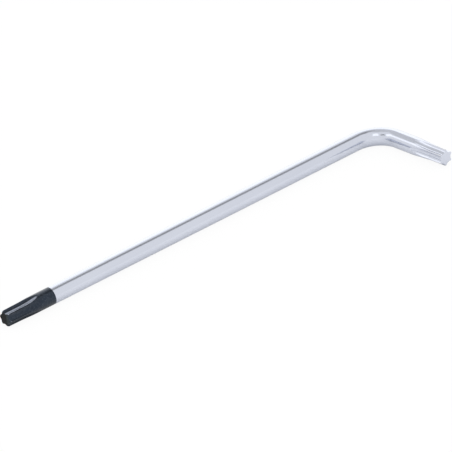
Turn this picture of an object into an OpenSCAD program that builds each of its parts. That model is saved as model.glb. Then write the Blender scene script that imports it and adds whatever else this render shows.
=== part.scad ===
// Star key: one round steel bar bent into an L, with a six-lobe star formed on each end.
// It lies flat. +X runs along the long arm from its tip to the bend, the short arm points to -Y and +Z is up.
// The origin is the middle of the long arm's tip face.

/* [Bar] */
// Diameter of the round bar
bar_d = 5.8; // [5.8:0.1:8]
// Long arm, from its tip face to the far side of the short arm
long_reach = 162; // [100:1:260]
// Short arm, from its tip face to the far side of the long arm
short_reach = 35; // [32:0.5:70]
// Radius of the bend, at the middle of the bar
bend_r = 9.5; // [8:0.5:14]

/* [Star] */
// Size across two opposite lobes, where the star meets the bar
star_a = 5.6; // [5:0.02:5.6]
// Size across the bottoms of two opposite flutes
star_b = 3.88; // [3.6:0.02:4.1]
// Radius of each lobe's rounded crest
lobe_r = 0.22; // [0.2:0.01:0.4]
// Length of the star at full depth
flute_len = 5.2; // [4:0.1:8]
// Radius of the sweep in which each flute runs out of the bar
runout_r = 38; // [20:1:50]
// Width of the bevel round the tip face
tip_bevel = 0.3; // [0.1:0.05:0.5]
// How much slimmer the long arm's lobes are at the tip than at the bar, for an easy start in the screw
long_lead_in = 0.22; // [0:0.01:0.3]
// How much slimmer the short arm's lobes are at the tip than at the bar
short_lead_in = 0.02; // [0:0.01:0.3]
// Turn of the long arm's star, from a lobe pointing along the short arm
long_turn = -9; // [-30:1:30]
// Turn of the short arm's star, from a lobe pointing back along the long arm
short_turn = 37; // [0:1:60]

/* [Finish] */
// Length of the blackened end of the long arm, along the middle of the bar
black_len = 19.5; // [17:0.5:40]
// Slant of the edge between the black and the plated bar
black_slant = 8; // [0:1:20]
// Side of the bar on which the black is shortest, turned up from the short arm's side
black_turn = 32; // [-90:1:90]

/* [Hidden] */
$fn = 96;

lobes = 6;
step_deg = 360 / lobes;
half_step = step_deg / 2;
square_turn = 90;
bar_r = bar_d / 2;

// The flute's arc touches both lobes beside it, so its radius follows from the other sizes.
lobe_c = star_a / 2 - lobe_r;
root_r = star_b / 2;
flute_r = (lobe_c * lobe_c + root_r * root_r - 2 * lobe_c * root_r * cos(half_step) - lobe_r * lobe_r)
        / (2 * (lobe_r + lobe_c * cos(half_step) - root_r));
flute_c = root_r + flute_r;
// Where a flute and a lobe touch, seen from the axis with the flute's middle straight ahead.
touch_share = lobe_r / (lobe_r + flute_r);
touch_x = lobe_c * cos(half_step) * (1 - touch_share) + flute_c * touch_share;
touch_y = lobe_c * sin(half_step) * (1 - touch_share);
// The round core fills the star between its lobes and stops this far inside the line of touch.
core_gap = 0.05;
core_r = norm([touch_x, touch_y]) - core_gap;
// The lobes overlap the flutes by this much, so that the flutes trim them.
lobe_lap = 0.02;

crest_r = star_a / 2;
lift = bar_r - root_r;
runout_len = sqrt(2 * runout_r * lift - lift * lift);
plain_len = 0.5;
star_len = flute_len + runout_len + plain_len;
// The rounded lobes end a share of the way into the run-out.
lobe_end_share = 0.25;
lobe_len = flute_len + runout_len * lobe_end_share;
// From there a gentle shoulder widens to the full bar, just past the end of the run-out.
shoulder_len = star_len - plain_len / 2 - lobe_len;
// The lobes reach this share of the shoulder into it.
buried_share = 0.15;

long_axis_end = long_reach - bar_r;
short_axis_end = short_reach - bar_r;
bend_start_x = long_axis_end - bend_r;
short_arm_y = star_len - short_axis_end;
slant_drop = bar_d * tan(black_slant);
over = 1;

plated = "#cfd2dc";
blackened = "#2c3038";

// One flute: a straight round cut that sweeps out of the bar at its end.
module flute() {
  translate([flute_c, 0, -over]) cylinder(r = flute_r, h = flute_len + over);
  translate([root_r + runout_r, 0, flute_len])
    rotate([square_turn, 0, 0])
      mirror([1, 0, 0])
        rotate_extrude(angle = square_turn)
          translate([runout_r - flute_r, 0]) circle(r = flute_r);
}

// The turned blank behind the star: it widens from the lobes to the bar.
module blank(len) {
  rotate_extrude()
    polygon([[0, lobe_len], [crest_r, lobe_len], [bar_r, lobe_len + shoulder_len], [bar_r, len], [0, len]]);
}

// The rounded lobes on their core, slimmer towards the bevelled tip.
module lobed_core(lead_in) {
  buried_len = lobe_len + shoulder_len * buried_share;
  tip_r = crest_r - lead_in;
  face_r = tip_r - tip_bevel;
  intersection() {
    rotate_extrude()
      polygon([[0, 0], [face_r, 0], [tip_r, tip_bevel], [crest_r, lobe_len],
               [crest_r, buried_len], [0, buried_len]]);
    union() {
      cylinder(r = core_r, h = buried_len);
      for (i = [0 : lobes - 1])
        rotate(i * step_deg)
          translate([lobe_c, 0, 0])
            cylinder(r = lobe_r + lobe_lap, h = buried_len);
    }
  }
}

// A bar end with a star, from its tip face at z = 0 up to the plain bar at len. One lobe points to +X.
module star_end(len, lead_in) {
  difference() {
    union() {
      lobed_core(lead_in);
      blank(len);
    }
    for (i = [0 : lobes - 1])
      rotate(i * step_deg + half_step) flute();
  }
}

// Everything on the plated side of the black edge.
module plated_side() {
  span = long_reach;
  translate([black_len, 0, 0])
    rotate([-black_turn, 0, 0])
      rotate([0, 0, -black_slant])
        translate([0, -span / 2, -span / 2]) cube(span);
}

module long_star_tip() {
  color(blackened)
    difference() {
      rotate([0, square_turn, 0])
        rotate(-square_turn - long_turn)
          star_end(black_len + slant_drop, long_lead_in);
      plated_side();
    }
}

module long_arm() {
  color(plated)
    intersection() {
      translate([black_len - slant_drop, 0, 0])
        rotate([0, square_turn, 0])
          cylinder(r = bar_r, h = bend_start_x - black_len + slant_drop);
      plated_side();
    }
}

module bend() {
  color(plated)
    translate([bend_start_x, -bend_r, 0])
      rotate_extrude(angle = square_turn)
        translate([bend_r, 0]) circle(r = bar_r);
}

module short_arm() {
  color(plated)
    translate([long_axis_end, short_arm_y, 0])
      rotate([-square_turn, 0, 0])
        cylinder(r = bar_r, h = -bend_r - short_arm_y);
}

module short_star_tip() {
  color(plated)
    translate([long_axis_end, -short_axis_end, 0])
      rotate([-square_turn, 0, 0])
        rotate(2 * square_turn + short_turn)
          star_end(star_len, short_lead_in);
}

long_star_tip();
long_arm();
bend();
short_arm();
short_star_tip();
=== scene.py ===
# %% [markdown]
# # A star key
# The object is a hand key bent from one round steel bar: a long arm, a bend, a short arm, and a six-lobe
# star on each end. The bar is plated bright, and the long arm's end is blackened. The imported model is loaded
# first as a fixed frame, so that every piece made here lies where the real part says.

# %% Load the frame
import math

import bmesh
import bpy
from mathutils import Matrix, Vector


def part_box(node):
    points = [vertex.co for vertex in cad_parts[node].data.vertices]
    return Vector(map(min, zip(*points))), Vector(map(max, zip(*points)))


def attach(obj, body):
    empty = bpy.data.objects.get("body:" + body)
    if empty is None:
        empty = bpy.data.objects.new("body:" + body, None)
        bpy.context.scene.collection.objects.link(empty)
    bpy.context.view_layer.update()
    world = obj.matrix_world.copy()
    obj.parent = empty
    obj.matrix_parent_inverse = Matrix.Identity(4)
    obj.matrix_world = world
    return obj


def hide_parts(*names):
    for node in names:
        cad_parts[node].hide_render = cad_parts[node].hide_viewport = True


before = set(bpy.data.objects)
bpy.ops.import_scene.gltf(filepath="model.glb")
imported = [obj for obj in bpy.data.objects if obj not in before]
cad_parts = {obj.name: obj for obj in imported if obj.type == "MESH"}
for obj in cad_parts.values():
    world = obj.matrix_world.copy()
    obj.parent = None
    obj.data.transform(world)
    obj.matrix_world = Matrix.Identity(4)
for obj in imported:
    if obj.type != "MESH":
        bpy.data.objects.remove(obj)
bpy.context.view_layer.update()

MM = 0.001

# %% [markdown]
# ## Sizes
# The sizes come from the frame where a node's box gives them: the bar's radius, where the bend starts and
# ends, and how long the short star is. A box can't tell the star's own sizes, so they are written as on a
# drawing, in millimetres. Across the lobes it is a size 30 key, and the flutes follow the photograph.

# %% Sizes in millimetres
def box_mm(node):
    return [[round(x / MM, 2) for x in corner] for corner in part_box(node)]


arm_lo, arm_hi = box_mm("short_arm")
bend_x, bend_y, _ = box_mm("bend")[0]
short_tip_y = box_mm("short_star_tip")[0][1]
bar_r = round((arm_hi[0] - arm_lo[0]) / 2, 2)
corner_x = round((arm_hi[0] + arm_lo[0]) / 2, 2)
bend_r = -bend_y
arm_end_y = arm_lo[1]
star_len = round(arm_end_y - short_tip_y, 2)
print(f"bar radius {bar_r}, bend from x {bend_x} to y {bend_y}, stars {star_len} long, in mm")

# Size across the lobes, size across the flutes, and the radius of a lobe's crest.
star_a, star_b, lobe_r = 5.6, 3.88, 0.22
# The flutes' length at full depth, and the radius of the arc in which they run out.
flute_len, runout_r = 5.2, 38.0
# The bevel round the tip face, and how much slimmer each star is at its tip than at the bar.
tip_bevel, long_lead_in, short_lead_in = 0.3, 0.22, 0.02
# Each star's turn about its arm, in degrees.
long_turn, short_turn = -9, 37
# The black end's length, then the slant of its edge and the side it leans to, in degrees.
black_len, black_slant, black_turn = 19.5, 8, 32

# %% [markdown]
# ## The bent bar
# On the real key the bar is cut to length, bent cold round a former and then plated, so its skin runs without
# a seam from the long arm through the bend to the short arm. It could be a bevelled curve. Here it is made as
# the bender makes it: a disc is extruded to the start of the bend, spun a quarter turn about the bend's
# centre, and extruded again. One bisect then cuts the end on the slant where the black begins.

# %% Helpers for modelling
MERGE = 1e-7
SMOOTH_UP_TO = math.radians(50)
SQUARE = math.radians(90)


def mm(x, y, z):
    return Vector((x, y, z)) * MM


def start_piece(name, place, turn, count):
    """Adds a filled disc of the bar's size, with its place and turn in its mesh, and opens it for editing."""
    bpy.ops.object.select_all(action="DESELECT")
    bpy.ops.mesh.primitive_circle_add(vertices=count, radius=bar_r * MM, fill_type="NGON", location=place,
                                      rotation=turn)
    piece = bpy.context.object
    piece.name = piece.data.name = name
    bpy.ops.object.transform_apply(location=True, rotation=True, scale=True)
    bpy.ops.object.mode_set(mode="EDIT")
    bpy.ops.mesh.select_all(action="SELECT")
    return piece


def end_piece(piece, body, slot, *nodes):
    """Closes the mesh, smooths it and gives it to its body in the frame."""
    bpy.ops.mesh.select_all(action="SELECT")
    bpy.ops.mesh.remove_doubles(threshold=MERGE)
    bpy.ops.mesh.normals_make_consistent(inside=False)
    edges = bmesh.from_edit_mesh(piece.data).edges
    open_edges = sum(not e.is_manifold for e in edges)
    bpy.ops.object.mode_set(mode="OBJECT")
    bpy.ops.object.shade_smooth_by_angle(angle=SMOOTH_UP_TO)
    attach(piece, body)
    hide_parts(*nodes)
    print(f"{piece.name}: {len(piece.data.polygons)} faces, {open_edges} open edges, stands for {nodes}")


# %% The slanted edge of the black
# A plane: its middle lies on the axis of the bar, and its normal points into the plated bar.
lean = Matrix.Rotation(math.radians(-black_slant), 3, "Z")
slant = Matrix.Rotation(math.radians(-black_turn), 3, "X") @ lean
edge_middle, edge_normal = mm(black_len, 0, 0), slant @ Vector((1, 0, 0))
edge_reach = bar_r * math.tan(math.radians(black_slant))
print(f"the black ends {black_len} mm from the tip, {edge_reach:.2f} mm more or less round the bar")

# %% Plated bar
BAR_SIDES, BEND_STEPS = 180, 60
first_x = black_len - 2 * edge_reach
plated_bar = start_piece("plated_bar", mm(first_x, 0, 0), (0, SQUARE, 0), BAR_SIDES)
bpy.ops.mesh.extrude_region_move(TRANSFORM_OT_translate={"value": mm(bend_x - first_x, 0, 0)})
bpy.ops.mesh.spin(steps=BEND_STEPS, angle=SQUARE, center=mm(bend_x, -bend_r, 0), axis=(0, 0, 1))
bpy.ops.mesh.extrude_region_move(TRANSFORM_OT_translate={"value": mm(0, arm_end_y - bend_y, 0)})
bpy.ops.mesh.select_all(action="SELECT")
bpy.ops.mesh.bisect(plane_co=edge_middle, plane_no=edge_normal, use_fill=True, clear_inner=True)
end_piece(plated_bar, "root", "plated_bar", "long_arm", "bend", "short_arm")

# %% [markdown]
# ## The outline of a star
# A cutter with a round nose makes the six flutes and leaves a rounded lobe on either side of each. At the end
# of its stroke it lifts out along a wide arc, so each flute runs out of the bar in a long point. The star
# could be cut with booleans, but those leave long thin faces that show on bright metal. So the shape is
# worked out instead: a few small functions give its radius at any turn and any distance from the tip.

# %% The outline of the star
LOBES = 6
STEP = math.tau / LOBES
HALF_STEP = STEP / 2
cos30, sin30 = math.cos(HALF_STEP), math.sin(HALF_STEP)
# A short plain stretch ends the star, and the lobes end this share of the way into the run-out.
PLAIN_LEN, LOBE_END_SHARE = 0.5, 0.25
# Corners are rounded over these widths: shoulder, bevel, bar, and the edges of the flutes.
SHOULDER_ROUND, BEVEL_ROUND, BAR_ROUND, FLUTE_ROUND = 0.03, 0.12, 0.02, 0.07

lobe_c, root_r, crest_r = star_a / 2 - lobe_r, star_b / 2, star_a / 2
flute_r = (lobe_c ** 2 + root_r ** 2 - 2 * lobe_c * root_r * cos30 - lobe_r ** 2) / (
    2 * (lobe_r + lobe_c * cos30 - root_r))
flute_c = root_r + flute_r
# Where flute and lobe touch, seen from the axis with the flute's middle straight ahead.
touch = Vector((lobe_c * cos30, lobe_c * sin30)).lerp(Vector((flute_c, 0)), lobe_r / (lobe_r + flute_r))
lobe_len = flute_len + LOBE_END_SHARE * (star_len - PLAIN_LEN - flute_len)
shoulder_end = star_len - PLAIN_LEN / 2
print(f"flute radius {flute_r:.3f} mm, meeting the lobes {touch.length:.3f} mm from the axis")


def soft_min(a, b, width):
    """The smaller of two radii, with the corner between them rounded over a width."""
    near = max(width - abs(a - b), 0) / width
    return min(a, b) - near * near * width / 4


def blank_radius(s, lead_in):
    """The turned blank, at a distance from the tip: a bevel, a slight taper and a shoulder up to the bar."""
    taper = crest_r - lead_in * (lobe_len - s) / (lobe_len - tip_bevel)
    shoulder = crest_r + (bar_r - crest_r) * (s - lobe_len) / (shoulder_end - lobe_len)
    turned = -soft_min(-taper, -shoulder, SHOULDER_ROUND)
    bevel = crest_r - lead_in - tip_bevel + s
    return soft_min(soft_min(bevel, turned, BEVEL_ROUND), bar_r, BAR_ROUND)


def cutter_lift(s):
    """How far the cutter has lifted along its arc, at a distance from the tip."""
    return runout_r - math.sqrt(runout_r ** 2 - max(s - flute_len, 0) ** 2)


def cutter_radius(angle, lift):
    """The cutter's edge, at an angle from the middle of a flute, with the cutter lifted out of the bar."""
    if angle <= math.atan2(touch.y, touch.x + lift):
        centre = flute_c + lift
        return centre * math.cos(angle) - math.sqrt(max(flute_r ** 2 - (centre * math.sin(angle)) ** 2, 0))
    lobe = Vector((lobe_c * cos30 + lift, lobe_c * sin30))
    past = min(angle - math.atan2(lobe.y, lobe.x), 0)
    return lobe.length * math.cos(past) + math.sqrt(max(lobe_r ** 2 - (lobe.length * math.sin(past)) ** 2, 0))


def star_radius(turn, s, lead_in):
    """The finished star's radius, at a turn from a lobe and a distance from the tip."""
    from_flute = abs(turn % STEP - HALF_STEP)
    return soft_min(cutter_radius(from_flute, cutter_lift(s)), blank_radius(s, lead_in), FLUTE_ROUND)


# %% Shaping a star end ring by ring
STAR_SIDES = 360
# The turns lie closer together near the lobes, where the outline bends most.
CROWDING = 0.6
TIP_ROUND = 0.08
# Rings of the flat end face and its soft edge: each one's distance from the tip and share of the outline.
FACE_RINGS = [(0, 0.15), (0, 0.5), (0, 0.85), (0, 0.955), (0, 0.97), (0.03, 0.988)]
BEVEL_STEP, BEVEL_RINGS = 0.06, 8
STRAIGHT_START, STRAIGHT_STEP, STRAIGHT_RINGS = 0.8, 0.7, 7
RUNOUT_STEP = 0.1


def spaced(start, step, count):
    return [start + step * i for i in range(count)]


def stations(end):
    """Each ring's distance from the tip and share of the outline: first the flat face, from its middle."""
    bevel = spaced(TIP_ROUND, BEVEL_STEP, BEVEL_RINGS)
    straight = spaced(STRAIGHT_START, STRAIGHT_STEP, STRAIGHT_RINGS)
    runout = spaced(flute_len, RUNOUT_STEP, int((star_len - flute_len) / RUNOUT_STEP))
    along = bevel + straight + runout + [star_len] + ([end] if end > star_len else [])
    return FACE_RINGS + [(s, 1) for s in along]


def shape_star(piece, place, lead_in, end):
    """Extrudes the disc along the bar. place(turn, radius, s) gives a point of the star in the frame."""
    steps = [LOBES * i / STAR_SIDES for i in range(STAR_SIDES)]
    turns = [STEP * (i - CROWDING * math.sin(math.tau * i) / math.tau) for i in steps]
    rings = stations(end)
    for number, (s, share) in enumerate(rings):
        if number:
            bpy.ops.mesh.extrude_region_move(TRANSFORM_OT_translate={"value": (0, 0, 0)})
        mesh = bmesh.from_edit_mesh(piece.data)
        ring = next(f for f in mesh.faces if f.select)
        for turn, vert in zip(turns, ring.verts):
            vert.co = place(turn, share * star_radius(turn, max(s, TIP_ROUND), lead_in), s) * MM
        bmesh.update_edit_mesh(piece.data)
    print(f"{piece.name}: {len(rings)} rings of {STAR_SIDES} points")


# %% [markdown]
# ## The short star
# The short arm ends in a star under the same plate as the bar. It could be a turned copy of the long arm's
# star, but that one is slimmer at its tip, so a copy would be the wrong shape. It is extruded ring by ring
# instead. Each ring starts on top of the last one and is drawn to the outline at its place along the arm.

# %% Short star
def on_short_arm(turn, radius, s):
    beta = turn + math.radians(short_turn)
    return Vector((corner_x - radius * math.cos(beta), short_tip_y + s, radius * math.sin(beta)))


short_star = start_piece("short_star", mm(corner_x, short_tip_y, 0), (-SQUARE, 0, 0), STAR_SIDES)
shape_star(short_star, on_short_arm, short_lead_in, star_len)
end_piece(short_star, "root", "plated_bar", "short_star_tip")

# %% [markdown]
# ## The black star tip
# The last stretch of the long arm is black: the star and some plain bar behind it. The bar hung a little
# aslant in the bath, so the black ends on a slant. The black could be painted on the plated bar by a mask,
# but it is a piece of its own in the frame and a finish of its own, so it is made as one. The same plane that
# cut the plated bar cuts it from the other side, and the two meet without a gap.

# %% Black star tip
def on_long_arm(turn, radius, s):
    beta = turn + math.radians(long_turn)
    return Vector((s, -radius * math.cos(beta), radius * math.sin(beta)))


black_tip = start_piece("black_star_tip", mm(0, 0, 0), (0, SQUARE, 0), STAR_SIDES)
shape_star(black_tip, on_long_arm, long_lead_in, black_len + 2 * edge_reach)
bpy.ops.mesh.select_all(action="SELECT")
bpy.ops.mesh.bisect(plane_co=edge_middle, plane_no=edge_normal, use_fill=True, clear_outer=True)
end_piece(black_tip, "root", "blackened_tip", "long_star_tip")

# %% [markdown]
# ## The bar before it was bent
# Drawing the wire leaves faint lines along the bar, and they follow the bend. Noise could be read from the
# object's own coordinates, but then it would cut straight across the bend. So each piece stores where its
# points were while the bar was still straight: the distance along it, and the place in its section. Two more
# values store the wear on the crests near each tip, and a painted highlight: a bright streak of bare steel on
# the upper flanks of the black star, standing in for the reflection of the lights.

# %% Functions for the stored values
# Wear reaches this deep below a crest and fades over this length, to a small share that stays.
WEAR_DEPTH, WEAR_FADE, WEAR_STAYS = 0.3, 1.2, 0.25
# The painted highlight on a flank, across a flute from -1 at its leading edge to 1: where it starts, is full,
# and ends.
HIGHLIGHT_START, HIGHLIGHT_FULL, HIGHLIGHT_EASES, HIGHLIGHT_END = -1.3, -1.15, -0.2, 0.15
# It is painted on the upper side only, facing the lights, between these turns from the short arm's side, and
# ends along the bar.
UPPER_START, UPPER_FULL, UPPER_EASES, UPPER_END = 35, 50, 120, 150
HIGHLIGHT_LEN, HIGHLIGHT_FADES_FROM = 13.3, 11.8


def unbent(p):
    if p.x <= bend_x:
        return p
    if p.y > bend_y:
        turned = math.atan2(p.x - bend_x, p.y + bend_r)
        return Vector((bend_x + bend_r * turned, math.hypot(p.x - bend_x, p.y + bend_r) - bend_r, p.z))
    return Vector((bend_x + bend_r * math.pi / 2 + bend_y - p.y, p.x - corner_x, p.z))


def ramp(value, start, end):
    """0 at start and before it, 1 at end and past it."""
    return min(max((value - start) / (end - start), 0), 1)


def worn(p, tip_x, way, lead_in):
    """How far wear has reached: full on the crests at the tip, fading along them, none in the flutes."""
    s = (p.x - tip_x) * way
    if s > lobe_len:
        return 0
    crest = blank_radius(max(s, tip_bevel), lead_in)
    fade = WEAR_STAYS + (1 - WEAR_STAYS) * math.exp(-max(s, 0) / WEAR_FADE)
    return fade * ramp(math.hypot(p.y, p.z), crest - WEAR_DEPTH, crest)


def painted_highlight(p):
    """A painted highlight on the black star: bright on the flutes' leading sides, on its upper half."""
    # Half the flute's width on the blank, as a turn about the axis: it closes where the flute runs out.
    blank, centre = blank_radius(p.x, long_lead_in), flute_c + cutter_lift(p.x)
    cosine = (blank ** 2 + centre ** 2 - flute_r ** 2) / (2 * blank * centre)
    if cosine >= 1:
        return 0
    turn = math.atan2(p.z, -p.y)
    across = ((turn - math.radians(long_turn)) % STEP - HALF_STEP) / math.acos(cosine)
    side = ramp(across, HIGHLIGHT_START, HIGHLIGHT_FULL) * ramp(across, HIGHLIGHT_END, HIGHLIGHT_EASES)
    degrees = math.degrees(turn)
    upper = ramp(degrees, UPPER_START, UPPER_FULL) * ramp(degrees, UPPER_END, UPPER_EASES)
    return side * upper * ramp(p.x, HIGHLIGHT_LEN, HIGHLIGHT_FADES_FROM)


# %% Store the values
bar_end = unbent(Vector((corner_x, short_tip_y, 0))).x
for piece, tip_x, way, lead_in in ((plated_bar, 0, 1, 0), (short_star, bar_end, -1, short_lead_in),
                                   (black_tip, 0, 1, long_lead_in)):
    points = [unbent(v.co / MM) for v in piece.data.vertices]
    places = piece.data.attributes.new("unbent_mm", "FLOAT_VECTOR", "POINT")
    places.data.foreach_set("vector", [x for p in points for x in p])
    wear = piece.data.attributes.new("worn", "FLOAT", "POINT")
    wear.data.foreach_set("value", [worn(p, tip_x, way, lead_in) for p in points])
    # The third value is the painted highlight, kept on the black tip only.
    highlight_mask = piece.data.attributes.new("painted_highlight", "FLOAT", "POINT")
    highlight_mask.data.foreach_set("value", [painted_highlight(p) if piece == black_tip else 0 for p in points])
    print(f"{piece.name}: {min(p.x for p in points):.1f} to {max(p.x for p in points):.1f} mm along the bar")

# %% [markdown]
# ## Finishes
# Three finishes cover the key: the plate, the black, and the matt black of the cut end. Colours are written
# as sRGB hex, as they are picked from a screen, and one function turns them to the linear values that shaders
# use. One small function adds a node of any kind and links it, so each finish reads from top to bottom.

# %% Node helpers
def linear(code):
    srgb = [int(code[i:i + 2], 16) / 255 for i in (1, 3, 5)]
    return [c / 12.92 if c <= 0.04045 else ((c + 0.055) / 1.055) ** 2.4 for c in srgb] + [1]


def add(tree, kind, inputs=(), **settings):
    """Adds one node. inputs gives each socket a value or another node's output."""
    node = tree.nodes.new(kind)
    for name, value in settings.items():
        setattr(node, name, value)
    for socket, value in dict(inputs).items():
        if isinstance(value, bpy.types.NodeSocket):
            tree.links.new(value, node.inputs[socket])
        else:
            node.inputs[socket].default_value = value
    return node


def new_finish(name):
    finish = bpy.data.materials.new(name)
    finish.use_nodes = True
    finish.node_tree.nodes.clear()
    return finish, finish.node_tree


print("a mid grey of #808080 is", [round(c, 3) for c in linear("#808080")[:3]], "in linear light")

# %% [markdown]
# ## The plate
# Nickel and chrome over drawn bar is bright, but it is no perfect mirror. The drawing lines under the plate
# soften the reflections, and slow waves left by straightening make their edges wander. One metal with one
# roughness would look like a computer's pipe. So stretched noise varies the roughness and tilts the surface
# a little, and the crests near the tip are a touch warmer, where the plate has worn thin.

# %% Plate
# Real drawing lines are some 0.05 mm wide, too fine for the picture, so they are drawn 0.45 mm wide.
LINE_LONG, LINE_WIDE = 30, 0.45
# The waves of straightening, at their real size, and how high waves and lines stand, all in mm.
WAVE_LONG, WAVE_WIDE = 25, 5
WAVE_HIGH, LINE_HIGH = 0.01, 0.001
# The cut star is a little duller than the drawn bar.
STAR_DULLER = 0.02
# The roughness between the drawing lines and on them: bright plate, a little satin.
SHARPEST, SOFTEST = 0.13, 0.2

plate, tree = new_finish("satin_nickel_chrome_plate_on_drawn_steel")
places = add(tree, "ShaderNodeAttribute", attribute_name="unbent_mm").outputs["Vector"]
wear = add(tree, "ShaderNodeAttribute", attribute_name="worn").outputs["Fac"]
along = add(tree, "ShaderNodeVectorMath", {0: places, 1: (1 / LINE_LONG, 1 / LINE_WIDE, 1 / LINE_WIDE)},
            operation="MULTIPLY")
lines = add(tree, "ShaderNodeTexNoise", {"Vector": along.outputs[0], "Scale": 1, "Detail": 3})
swells = add(tree, "ShaderNodeVectorMath", {0: places, 1: (1 / WAVE_LONG, 1 / WAVE_WIDE, 1 / WAVE_WIDE)},
             operation="MULTIPLY")
waves = add(tree, "ShaderNodeTexNoise", {"Vector": swells.outputs[0], "Scale": 1, "Detail": 1})
# The colour gives the eye chrome's cold, bluish grey, never quite even.
tint = add(tree, "ShaderNodeMix", {"Factor": waves.outputs["Fac"], "A": linear("#ccd0dc"),
                                   "B": linear("#d3d7e2")}, data_type="RGBA")
tint = add(tree, "ShaderNodeMix", {"Factor": wear, "A": tint.outputs["Result"], "B": linear("#d6d5d6")},
           data_type="RGBA")
# The roughness gives the soft edges of the reflections, streaked along the bar.
rough = add(tree, "ShaderNodeMapRange", {"Value": lines.outputs["Fac"], "To Min": SHARPEST,
                                         "To Max": SOFTEST})
reach = add(tree, "ShaderNodeSeparateXYZ", {0: places}).outputs["X"]
formed = add(tree, "ShaderNodeMapRange", {"Value": reach, "From Min": bar_end - star_len,
                                          "From Max": bar_end - flute_len, "To Min": 0,
                                          "To Max": STAR_DULLER})
rough = add(tree, "ShaderNodeMath", {0: rough.outputs[0], 1: formed.outputs[0]}, operation="ADD")
wave_bump = add(tree, "ShaderNodeBump", {"Height": waves.outputs["Fac"], "Strength": 1,
                                         "Distance": WAVE_HIGH * MM})
line_bump = add(tree, "ShaderNodeBump", {"Height": lines.outputs["Fac"], "Strength": 1,
                                         "Distance": LINE_HIGH * MM, "Normal": wave_bump.outputs[0]})
shader = add(tree, "ShaderNodeBsdfPrincipled", {"Base Color": tint.outputs["Result"], "Metallic": 1,
                                                "Roughness": rough.outputs[0],
                                                "Normal": line_bump.outputs[0]})
add(tree, "ShaderNodeOutputMaterial", {"Surface": shader.outputs[0]})
print(plate.name, "has", len(tree.nodes), "nodes")

# %% [markdown]
# ## The black
# Black oxide is a thin skin that grows on the steel in a hot bath. It is blue-black, a little uneven, and
# oil gives it a soft sheen. Where the crests are worn, bare steel shines through, and a bright streak on the
# upper flanks is a painted highlight drawn as bare steel. Paint with a clear coat would look thick and grey
# here. So the skin is a dark surface with a low sheen, and its Metallic rises to bare steel wherever the
# stored wear and the painted highlight are high.

# %% Black
# The crystals of the skin are far too fine to show, so only its mottling is drawn, in two sizes in mm.
FINE_SPOT, BROAD_SPOT = 0.6, 1.6
GRAIN_HIGH = 0.012
# The roughness of the oiled skin, where it is smoothest and where it is dullest.
SMOOTHEST, DULLEST = 0.14, 0.26
# How much steel shows: where the painted highlight is faint, where it is strong, and in the mottled skin.
FAINT_HIGHLIGHT, STRONG_HIGHLIGHT, MOTTLE = 0.55, 0.85, 0.04

black, tree = new_finish("burnished_black_oxide_on_steel")
places = add(tree, "ShaderNodeAttribute", attribute_name="unbent_mm").outputs["Vector"]
wear = add(tree, "ShaderNodeAttribute", attribute_name="worn").outputs["Fac"]
highlight_mask = add(tree, "ShaderNodeAttribute", attribute_name="painted_highlight").outputs["Fac"]
fine = add(tree, "ShaderNodeTexNoise", {"Vector": places, "Scale": 1 / FINE_SPOT, "Detail": 4})
broad = add(tree, "ShaderNodeTexNoise", {"Vector": places, "Scale": 1 / BROAD_SPOT, "Detail": 3})
# The colour gives the eye a skin that is almost black, in patches of two depths.
patches = add(tree, "ShaderNodeMapRange", {"Value": broad.outputs["Fac"], "From Min": 0.36, "From Max": 0.64})
tint = add(tree, "ShaderNodeMix", {"Factor": patches.outputs[0], "A": linear("#040608"),
                                   "B": linear("#10151a")}, data_type="RGBA")
# The wear breaks through in spots, where the noise and the worn crest are both high.
spots = add(tree, "ShaderNodeMath", {0: fine.outputs["Fac"], 1: wear}, operation="MULTIPLY")
bare = add(tree, "ShaderNodeMapRange", {"Value": spots.outputs[0], "From Min": 0.38, "From Max": 0.56})
# The painted highlight gives the bright streak along the flank, stronger in some places than in others.
highlight_strength = add(tree, "ShaderNodeMapRange", {"Value": broad.outputs["Fac"], "From Min": 0.3, "From Max": 0.7,
                                         "To Min": FAINT_HIGHLIGHT, "To Max": STRONG_HIGHLIGHT})
highlight_and_wear = add(tree, "ShaderNodeMath", {0: highlight_mask, 1: highlight_strength.outputs[0]}, operation="MULTIPLY")
mottle = add(tree, "ShaderNodeMapRange", {"Value": fine.outputs["Fac"], "From Min": 0.5, "From Max": 0.7,
                                          "To Min": 0, "To Max": MOTTLE})
highlight_and_wear = add(tree, "ShaderNodeMath", {0: highlight_and_wear.outputs[0], 1: mottle.outputs[0]}, operation="MAXIMUM")
highlight_and_wear = add(tree, "ShaderNodeMath", {0: highlight_and_wear.outputs[0], 1: bare.outputs[0]}, operation="MAXIMUM")
# The bare steel colour follows the highest of the wear, the mottle and the painted highlight.
tint = add(tree, "ShaderNodeMix", {"Factor": highlight_and_wear.outputs[0], "A": tint.outputs["Result"],
                                   "B": linear("#c2c7d4")}, data_type="RGBA")
rough = add(tree, "ShaderNodeMapRange", {"Value": fine.outputs["Fac"], "To Min": SMOOTHEST,
                                         "To Max": DULLEST})
grain = add(tree, "ShaderNodeBump", {"Height": broad.outputs["Fac"], "Strength": 1,
                                     "Distance": GRAIN_HIGH * MM})
# The oxide bends light more than paint does, and its sheen is bluish.
shader = add(tree, "ShaderNodeBsdfPrincipled", {"Base Color": tint.outputs["Result"],
                                                "Metallic": highlight_and_wear.outputs[0], "IOR": 1.7,
                                                "Specular Tint": linear("#a8bcdb"),
                                                "Roughness": rough.outputs[0], "Normal": grain.outputs[0]})
add(tree, "ShaderNodeOutputMaterial", {"Surface": shader.outputs[0]})
print(black.name, "has", len(tree.nodes), "nodes")

# %% [markdown]
# ## The sheared end
# The bar is cropped to length, and the crop leaves the end face torn, under the same black.
# It could be modelled as a rough surface, but at this size only its tone shows: matt, and paler towards
# its -Y side. So the face gets a finish of its own, with noise for the tear.

# %% Sheared end
# The tear's lumps are this wide, and the face starts to turn paler and is fully pale at these places across
# it, in mm.
TEAR_WIDE = 0.5
PALE_START, PALE_FULL = -0.5, -1.2

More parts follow.
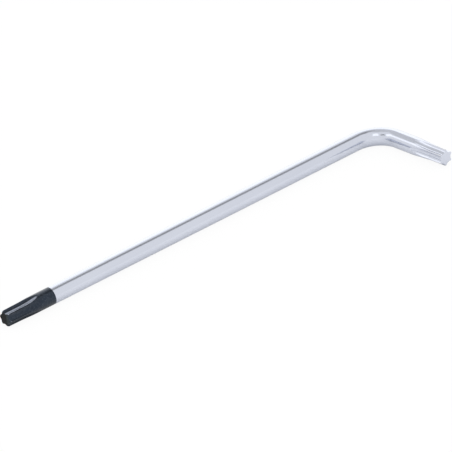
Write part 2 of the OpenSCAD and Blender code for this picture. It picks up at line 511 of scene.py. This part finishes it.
sheared, tree = new_finish("matt_black_oxide_on_sheared_steel")
places = add(tree, "ShaderNodeAttribute", attribute_name="unbent_mm").outputs["Vector"]
torn = add(tree, "ShaderNodeTexNoise", {"Vector": places, "Scale": 1 / TEAR_WIDE, "Detail": 4})
tint = add(tree, "ShaderNodeMix", {"Factor": torn.outputs["Fac"], "A": linear("#121213"),
                                   "B": linear("#242527")}, data_type="RGBA")
# The face turns paler towards its -Y side.
side = add(tree, "ShaderNodeSeparateXYZ", {0: places}).outputs["Y"]
paler = add(tree, "ShaderNodeMapRange", {"Value": side, "From Min": PALE_START, "From Max": PALE_FULL})
tint = add(tree, "ShaderNodeMix", {"Factor": paler.outputs[0], "A": tint.outputs["Result"],
                                   "B": linear("#2f3639")}, data_type="RGBA")
shader = add(tree, "ShaderNodeBsdfPrincipled", {"Base Color": tint.outputs["Result"], "Roughness": 0.7,
                                                "Specular IOR Level": 0.15})
add(tree, "ShaderNodeOutputMaterial", {"Surface": shader.outputs[0]})
print(sheared.name, "has", len(tree.nodes), "nodes")

# %% Give each piece its finish
# A face looks straight out of the tip when its normal is this close to -X.
END_FACE = -0.95
for piece, finish in ((plated_bar, plate), (short_star, plate), (black_tip, black)):
    piece.data.materials.append(finish)
    print(piece.name, "is finished in", finish.name)
black_tip.data.materials.append(sheared)
for face in black_tip.data.polygons:
    face.material_index = int(face.normal.x < END_FACE)
print(sum(f.material_index for f in black_tip.data.polygons), "faces of the tip are sheared")

# %% [markdown]
# ## Floor and white room
# Bright metal shows what stands round it, so the studio is most of its look. The key lies on white paper in
# a white room. Plain paper would turn grey in the picture and be too bright in the chrome. So the paper is
# mostly white for the camera, dimmer in reflections, and plain matt for the light that makes the shadow.

# %% Floor and world
FLOOR_SIZE, FLOOR_X = 6, 0.08
# How white the paper is to the camera and in reflections, and the room's light on matt things and as seen.
CAMERA_WHITE, MIRROR_WHITE = 0.93, 0.2
ROOM_LIGHT, ROOM_SEEN = 1.2, 1.0

bpy.ops.object.select_all(action="DESELECT")
bpy.ops.mesh.primitive_plane_add(size=FLOOR_SIZE, location=(FLOOR_X, 0, -bar_r * MM))
floor = bpy.context.object
floor.name = "floor"
paper, tree = new_finish("white_paper_sweep")
path = add(tree, "ShaderNodeLightPath")
mirrored = add(tree, "ShaderNodeMath", {0: path.outputs["Is Transmission Ray"],
                                        1: path.outputs["Is Glossy Ray"]}, operation="MAXIMUM")
mirrored = add(tree, "ShaderNodeMath", {0: mirrored.outputs[0], 1: MIRROR_WHITE}, operation="MULTIPLY")
share = add(tree, "ShaderNodeMath", {0: path.outputs["Is Camera Ray"], 1: CAMERA_WHITE}, operation="MULTIPLY")
share = add(tree, "ShaderNodeMath", {0: share.outputs[0], 1: mirrored.outputs[0]}, operation="MAXIMUM")
matt = add(tree, "ShaderNodeBsdfDiffuse", {"Color": linear("#f2f2f2")})
white = add(tree, "ShaderNodeEmission", {"Color": (1, 1, 1, 1), "Strength": 1})
mixed = add(tree, "ShaderNodeMixShader", {0: share.outputs[0], 1: matt.outputs[0], 2: white.outputs[0]})
add(tree, "ShaderNodeOutputMaterial", {"Surface": mixed.outputs[0]})
floor.data.materials.append(paper)

world = bpy.data.worlds.new("white_studio")
bpy.context.scene.world = world
world.use_nodes = True
tree = world.node_tree
tree.nodes.clear()
path = add(tree, "ShaderNodeLightPath")
seen = add(tree, "ShaderNodeMath", {0: path.outputs["Is Camera Ray"], 1: path.outputs["Is Glossy Ray"]},
           operation="MAXIMUM")
seen = add(tree, "ShaderNodeMath", {0: seen.outputs[0], 1: path.outputs["Is Transmission Ray"]},
           operation="MAXIMUM")
level = add(tree, "ShaderNodeMapRange", {"Value": seen.outputs[0], "To Min": ROOM_LIGHT, "To Max": ROOM_SEEN})
sky = add(tree, "ShaderNodeBackground", {"Color": (1, 1, 1, 1), "Strength": level.outputs[0]})
add(tree, "ShaderNodeOutputWorld", {"Surface": sky.outputs[0]})
print("the floor lies at z", floor.location.z)

# %% [markdown]
# ## Softbox and boards
# A photographer lights a bright bar with one soft lamp and sets boards round it: each stripe on the bar is a
# board's reflection. More lamps could make the stripes, but they would also add shadows. A board that only
# reflections can see makes a stripe and changes nothing else, so each stripe is set by one board's edges.

# %% Helpers for the boards
middle = mm(120, 0, 0)
STAND = 1.5


def bearing(az, el):
    """A place on a round wall about the object: az turns from +X towards +Y, el is its height, in degrees."""
    turned = math.radians(az)
    return middle + STAND * Vector((math.cos(turned), math.sin(turned), math.tan(math.radians(el))))


def over_bar(angle, height):
    """The y of a place seen at this angle round the long arm: 0 is the short arm's side, 90 straight up."""
    return -height / math.tan(math.radians(angle))


def board(name, corners, level):
    """A plain board that only shows in reflections."""
    mesh = bpy.data.meshes.new(name)
    mesh.from_pydata(corners, [], [range(len(corners))])
    card = bpy.data.objects.new(name, mesh)
    bpy.context.scene.collection.objects.link(card)
    card.visible_camera = card.visible_diffuse = card.visible_shadow = False
    finish, tree = new_finish(name)
    glow = add(tree, "ShaderNodeEmission", {"Color": (1, 1, 1, 1), "Strength": level})
    add(tree, "ShaderNodeOutputMaterial", {"Surface": glow.outputs[0]})
    mesh.materials.append(finish)
    print(f"board {name}, brightness {level}")


def standing(name, az, el, level):
    """A board on the round wall, between two bearings and two heights."""
    board(name, [bearing(az[0], el[0]), bearing(az[1], el[0]), bearing(az[1], el[1]), bearing(az[0], el[1])],
          level)


def hanging(name, x, y, z, level):
    """A level board overhead."""
    board(name, [Vector((x[0], y[0], z)), Vector((x[1], y[0], z)), Vector((x[1], y[1], z)),
                 Vector((x[0], y[1], z))], level)


# %% Softbox
SOFTBOX_FROM, SOFTBOX_TO, SOFTBOX_HIGH = 40, 56, 43
# As bright in a reflection as this share of a white wall.
SOFTBOX_LEVEL = 0.45

low, high = bearing(SOFTBOX_FROM, 0), bearing(SOFTBOX_TO, SOFTBOX_HIGH)
wide = bearing(SOFTBOX_TO, 0) - low
lamp = bpy.data.lights.new("softbox", "AREA")
lamp.shape, lamp.size, lamp.size_y = "RECTANGLE", wide.length, high.z - low.z
lamp.energy = SOFTBOX_LEVEL * math.pi * lamp.size * lamp.size_y
softbox = bpy.data.objects.new("softbox", lamp)
bpy.context.scene.collection.objects.link(softbox)
across, upward = wide.normalized(), Vector((0, 0, 1))
facing = Matrix((across, upward, across.cross(upward))).transposed().to_4x4()
softbox.matrix_world = Matrix.Translation((low + high) / 2) @ facing
softbox.visible_camera = False
print(f"softbox of {lamp.size:.2f} by {lamp.size_y:.2f} m")

# %% Boards
STRIP_HIGH, ROOF_HIGH = 0.9, 1.2
# The strip draws the dark line along the top of the long arm, and the roof the grey below it.
strip_y = over_bar(81, STRIP_HIGH), over_bar(107, STRIP_HIGH)
hanging("dark_strip", (0.35, 1.1), strip_y, STRIP_HIGH, 0.4)
hanging("grey_roof", (-0.1, 0.85), (-0.05, 0.72), ROOF_HIGH, 0.75)
# The walls and windows draw the stripes of the bend and the short arm.
standing("white_wall", (56, 80), (0, 23), 1.5)
standing("grey_wall", (57, 117), (23, 53), 0.78)
standing("window_left", (119, 161), (27, 46), 1.5)
standing("window_right", (204, 238), (36, 64), 1.5)
standing("window_post", (166, 194), (37, 48), 0.3)

# %% [markdown]
# ## Camera
# In the photograph the long arm hardly narrows with distance, so it was taken from far away with a long lens.
# An orthographic camera would be close, but a long lens keeps the little narrowing there is. The directions
# and the target were found by laying the bar's outline over the photograph.

# %% Camera
VIEW_UP, VIEW_BACK = Vector((0.37139, 0.26729, 0.88917)), Vector((-0.56818, -0.69199, 0.44533))
TARGET = mm(61.372, -38.595, 18.612)
# The camera's distance in metres, the width that it sees at the target, and its sensor, both in mm.
DISTANCE, VIEW_WIDTH, SENSOR = 6.5, 141.0187, 36
NEAREST, FARTHEST = 0.1, 30

cam = bpy.data.cameras.new("camera")
cam_holder = bpy.data.objects.new("camera", cam)
bpy.context.scene.collection.objects.link(cam_holder)
back = VIEW_BACK.normalized()
up = (VIEW_UP - VIEW_UP.dot(back) * back).normalized()
aim = Matrix((up.cross(back), up, back)).transposed().to_4x4()
cam_holder.matrix_world = Matrix.Translation(TARGET + back * DISTANCE) @ aim
cam.sensor_width = SENSOR
cam.lens = SENSOR * DISTANCE / (VIEW_WIDTH * MM)
cam.clip_start, cam.clip_end = NEAREST, FARTHEST
bpy.context.scene.camera = cam_holder
bpy.context.scene.view_settings.view_transform = "Standard"
print(f"lens of {cam.lens:.0f} mm at {DISTANCE} m")
